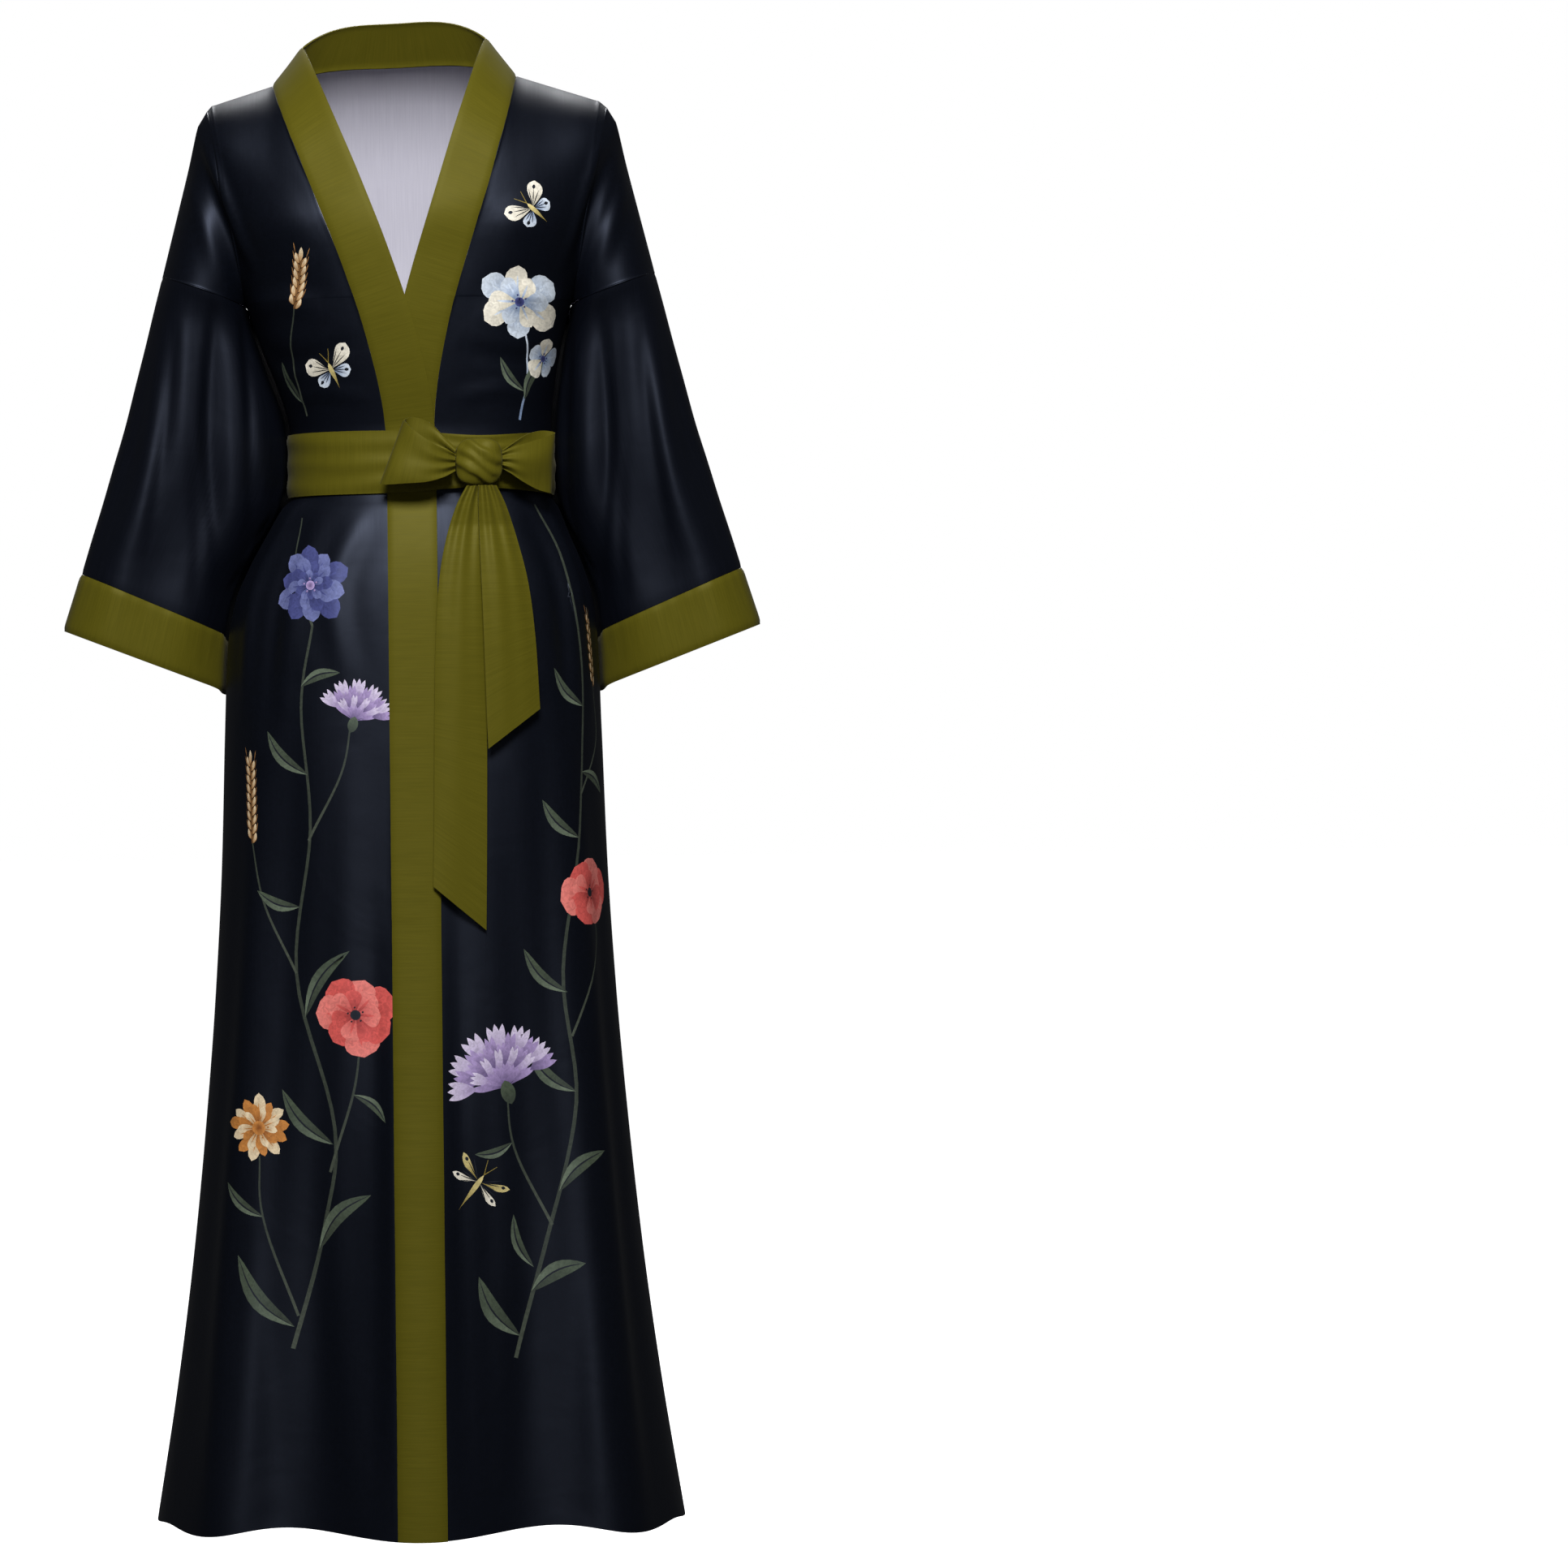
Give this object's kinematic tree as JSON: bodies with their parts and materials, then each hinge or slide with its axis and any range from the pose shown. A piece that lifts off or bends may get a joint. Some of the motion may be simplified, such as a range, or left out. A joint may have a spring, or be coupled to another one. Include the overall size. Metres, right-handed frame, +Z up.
{
  "type": "kimono robe",
  "caption": "Long satin kimono robe, hollow as if worn, with a wrapped front, wide sleeves, a contrasting neckband and cuffs, and a sash tied in a bow.",
  "frame": {"origin": "the middle of the neck on the wearer's shoulders, at the height where the shoulder seams meet the neckband", "axes": "+Z up, the front faces -Y, +X is the wearer's left"},
  "size_m": [0.6436, 0.3796, 1.3866],
  "materials": {
    "navy_satin": "printed satin",
    "olive_satin": "satin"
  },
  "bodies": {
    "root": {"back_panel": "navy_satin", "right_front": "navy_satin", "left_front": "navy_satin", "right_sleeve": "navy_satin", "left_sleeve": "navy_satin", "right_cuff": "olive_satin", "left_cuff": "olive_satin", "neckband": "olive_satin", "sash_wrap": "olive_satin", "bow_knot": "olive_satin", "bow_loop_right": "olive_satin", "bow_loop_left": "olive_satin", "bow_tail_long": "olive_satin", "bow_tail_short": "olive_satin"}
  },
  "joints": []
}
